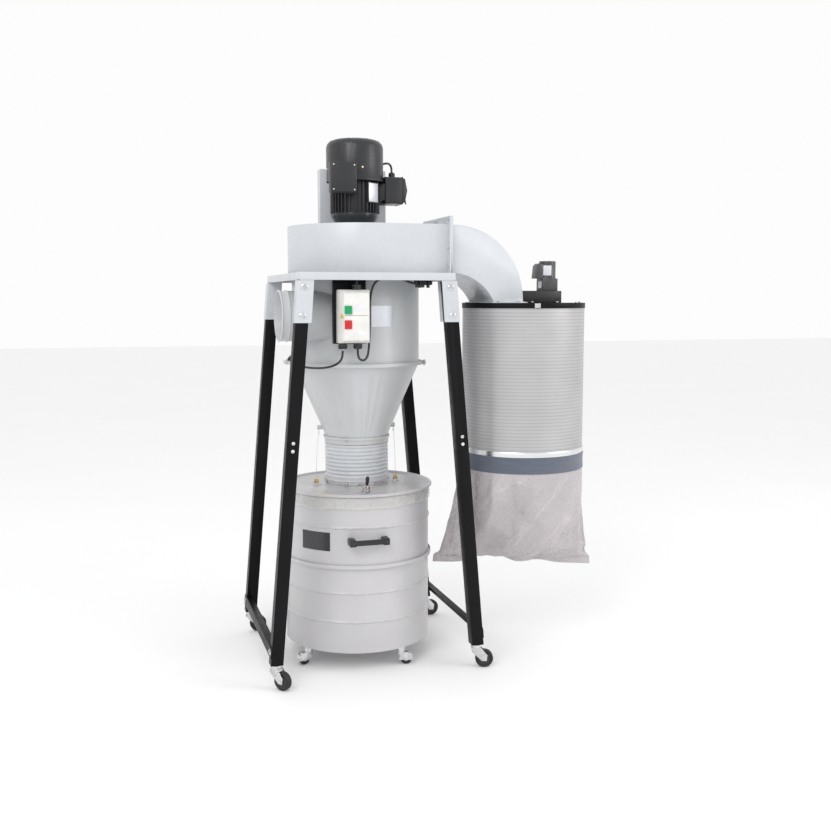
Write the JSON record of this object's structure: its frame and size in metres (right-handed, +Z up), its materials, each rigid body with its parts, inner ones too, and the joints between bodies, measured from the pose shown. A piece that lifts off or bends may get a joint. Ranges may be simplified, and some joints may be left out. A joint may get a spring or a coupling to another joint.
{
  "type": "dust collector",
  "caption": "Two-stage cyclone dust collector: blower and motor on a rolling stand, cartridge filter with dust bag, and a chip drum on casters.",
  "frame": {"origin": "on the floor, straight below the axis of the cyclone, motor and drum", "axes": "+Z up; +X from the cyclone to the filter; -Y is the operator's side, where the switch is"},
  "size_m": [1.4218, 0.8681, 2.205],
  "materials": {
    "machine_grey": "smooth semi-gloss light grey powder coat",
    "stand_black": "satin black powder coat",
    "zinc": "bright zinc plate",
    "motor_black": "satin-gloss black coat on cast aluminium",
    "drive_grey": "dark grey gearmotor coat",
    "motor_core": "laminated steel and copper windings",
    "steel": "turned steel",
    "plastic_ivory": "moulded plastic",
    "plastic_black": "moulded plastic",
    "green": "gloss",
    "red": "gloss",
    "cable_rubber": "satin sheath",
    "hose_grey": "pale corrugated plastic",
    "filter_media": "pleated",
    "bag_film": "milky polyethylene film",
    "strap_blue": "woven band",
    "tyre_black": "hard rubber",
    "drum_grey": "grey powder coat",
    "liner": "clear film"
  },
  "bodies": {
    "frame": {"top_frame": "machine_grey", "legs_upper": "stand_black", "legs_lower": "stand_black", "side_rails": "stand_black", "fasteners": "zinc", "motor_bracket": "machine_grey", "blower_housing": "machine_grey", "outlet_elbow": "machine_grey", "motor_frame": "motor_black", "fan_cover": "motor_black", "motor_boxes": "motor_black", "motor_stator": "motor_core", "cyclone_barrel": "machine_grey", "vortex_tube": "machine_grey", "cyclone_cone": "machine_grey", "clamp_bands": "machine_grey", "flex_hose": "hose_grey", "lift_wires": "zinc", "switch_bracket": "stand_black", "switch_box": "plastic_ivory", "power_cables": "cable_rubber", "filter_top_plate": "stand_black", "filter_shell": "machine_grey", "filter_media": "filter_media", "dust_bag": "bag_film", "bag_strap": "strap_blue", "drive_cover": "stand_black", "gearmotor": "drive_grey", "drive_belt": "cable_rubber"},
    "rotor": {"rotor_shaft": "steel", "cooling_fan": "plastic_black", "impeller": "steel"},
    "start_button": {"start_button": "green"},
    "stop_button": {"stop_button": "red"},
    "drive_pulley": {"drive_pulley": "steel"},
    "sweeper": {"sweeper": "steel"},
    "drum": {"drum_lower": "drum_grey", "drum_upper": "drum_grey", "drum_clamp_ring": "drum_grey", "drum_handle": "plastic_black", "drum_liner": "liner"},
    "lid": {"drum_lid": "drum_grey", "lid_fittings": "zinc"},
    "lever": {"lid_lever": "plastic_black"},
    "fork_front_left": {"caster_fork_front_left": "zinc"},
    "wheel_front_left": {"caster_wheel_front_left": "tyre_black"},
    "fork_front_right": {"caster_fork_front_right": "zinc"},
    "wheel_front_right": {"caster_wheel_front_right": "tyre_black"},
    "fork_back_left": {"caster_fork_back_left": "zinc"},
    "wheel_back_left": {"caster_wheel_back_left": "tyre_black"},
    "fork_back_right": {"caster_fork_back_right": "zinc"},
    "wheel_back_right": {"caster_wheel_back_right": "tyre_black"},
    "hood_left": {"drum_caster_hood_left": "zinc"},
    "drum_wheel_left": {"drum_caster_wheel_left": "tyre_black"},
    "hood_front": {"drum_caster_hood_front": "zinc"},
    "drum_wheel_front": {"drum_caster_wheel_front": "tyre_black"},
    "hood_right": {"drum_caster_hood_right": "zinc"},
    "drum_wheel_right": {"drum_caster_wheel_right": "tyre_black"},
    "hood_back": {"drum_caster_hood_back": "zinc"},
    "drum_wheel_back": {"drum_caster_wheel_back": "tyre_black"}
  },
  "joints": [
    {"name": "rotor_spin", "type": "hinge", "parent": "frame", "child": "rotor", "pos_m": [0, 0, 1.9], "axis": [0, 0, 1], "continuous": true},
    {"name": "start_press", "type": "slide", "parent": "frame", "child": "start_button", "axis": [0, 1, 0], "range_m": [0, 0.004], "stiffness_N_per_m": 400},
    {"name": "stop_press", "type": "slide", "parent": "frame", "child": "stop_button", "axis": [0, 1, 0], "range_m": [0, 0.004], "stiffness_N_per_m": 400},
    {"name": "sweeper_spin", "type": "hinge", "parent": "frame", "child": "sweeper", "pos_m": [0.69, -0.2, 1.5], "axis": [0, 0, 1], "continuous": true},
    {"name": "drive_pulley_spin", "type": "hinge", "parent": "frame", "child": "drive_pulley", "pos_m": [0.8, -0.2, 1.54], "axis": [0, 0, 1], "continuous": true},
    {"name": "drum_roll", "type": "slide", "parent": "frame", "child": "drum", "axis": [0, -1, 0], "range_m": [0, 0.8]},
    {"name": "lid_lift", "type": "slide", "parent": "frame", "child": "lid", "axis": [0, 0, 1], "range_m": [0, 0.045], "deforming": ["flex_hose", "lift_wires"]},
    {"name": "lever_turn", "type": "hinge", "parent": "lid", "child": "lever", "pos_m": [-0.013, -0.231, 0.766], "axis": [-1, 0, 0], "range_deg": [0, 91]},
    {"name": "swivel_front_left", "type": "hinge", "parent": "frame", "child": "fork_front_left", "pos_m": [-0.423, -0.3685, 0.09], "axis": [0, 0, 1], "continuous": true},
    {"name": "roll_front_left", "type": "hinge", "parent": "fork_front_left", "child": "wheel_front_left", "pos_m": [-0.40114, -0.39455, 0.0375], "axis": [0.766, 0.6428, 0], "continuous": true},
    {"name": "swivel_front_right", "type": "hinge", "parent": "frame", "child": "fork_front_right", "pos_m": [0.423, -0.3685, 0.09], "axis": [0, 0, 1], "continuous": true},
    {"name": "roll_front_right", "type": "hinge", "parent": "fork_front_right", "child": "wheel_front_right", "pos_m": [0.45568, -0.37787, 0.0375], "axis": [0.2756, 0.9613, 0], "continuous": true},
    {"name": "swivel_back_left", "type": "hinge", "parent": "frame", "child": "fork_back_left", "pos_m": [-0.423, 0.3685, 0.09], "axis": [0, 0, 1], "continuous": true},
    {"name": "roll_back_left", "type": "hinge", "parent": "fork_back_left", "child": "wheel_back_left", "pos_m": [-0.38919, 0.37205, 0.0375], "axis": [-0.1045, 0.9945, 0], "continuous": true},
    {"name": "swivel_back_right", "type": "hinge", "parent": "frame", "child": "fork_back_right", "pos_m": [0.423, 0.3685, 0.09], "axis": [0, 0, 1], "continuous": true},
    {"name": "roll_back_right", "type": "hinge", "parent": "fork_back_right", "child": "wheel_back_right", "pos_m": [0.45687, 0.37146, 0.0375], "axis": [-0.0872, 0.9962, 0], "continuous": true},
    {"name": "drum_swivel_left", "type": "hinge", "parent": "drum", "child": "hood_left", "pos_m": [-0.24503, -0.12485, 0.075], "axis": [0, 0, 1], "continuous": true},
    {"name": "drum_roll_left", "type": "hinge", "parent": "hood_left", "child": "drum_wheel_left", "pos_m": [-0.26617, -0.13091, 0.025], "axis": [0.2756, -0.9613, 0], "continuous": true},
    {"name": "drum_swivel_front", "type": "hinge", "parent": "drum", "child": "hood_front", "pos_m": [0.1291, -0.24281, 0.075], "axis": [0, 0, 1], "continuous": true},
    {"name": "drum_roll_front", "type": "hinge", "parent": "hood_front", "child": "drum_wheel_front", "pos_m": [0.15035, -0.24851, 0.025], "axis": [0.2588, 0.9659, 0], "continuous": true},
    {"name": "drum_swivel_right", "type": "hinge", "parent": "drum", "child": "hood_right", "pos_m": [0.24503, 0.12485, 0.075], "axis": [0, 0, 1], "continuous": true},
    {"name": "drum_roll_right", "type": "hinge", "parent": "hood_right", "child": "drum_wheel_right", "pos_m": [0.26669, 0.12867, 0.025], "axis": [-0.1736, 0.9848, 0], "continuous": true},
    {"name": "drum_swivel_back", "type": "hinge", "parent": "drum", "child": "hood_back", "pos_m": [-0.12485, 0.24503, 0.075], "axis": [0, 0, 1], "continuous": true},
    {"name": "drum_roll_back", "type": "hinge", "parent": "hood_back", "child": "drum_wheel_back", "pos_m": [-0.11385, 0.26408, 0.025], "axis": [-0.866, 0.5, 0], "continuous": true}
  ],
  "couplings": [
    {"joint": "drive_pulley_spin", "follows": "sweeper_spin", "ratio": 1.2},
    {"joint": "lever_turn", "follows": "lid_lift", "rad_per_m": 34.907}
  ]
}
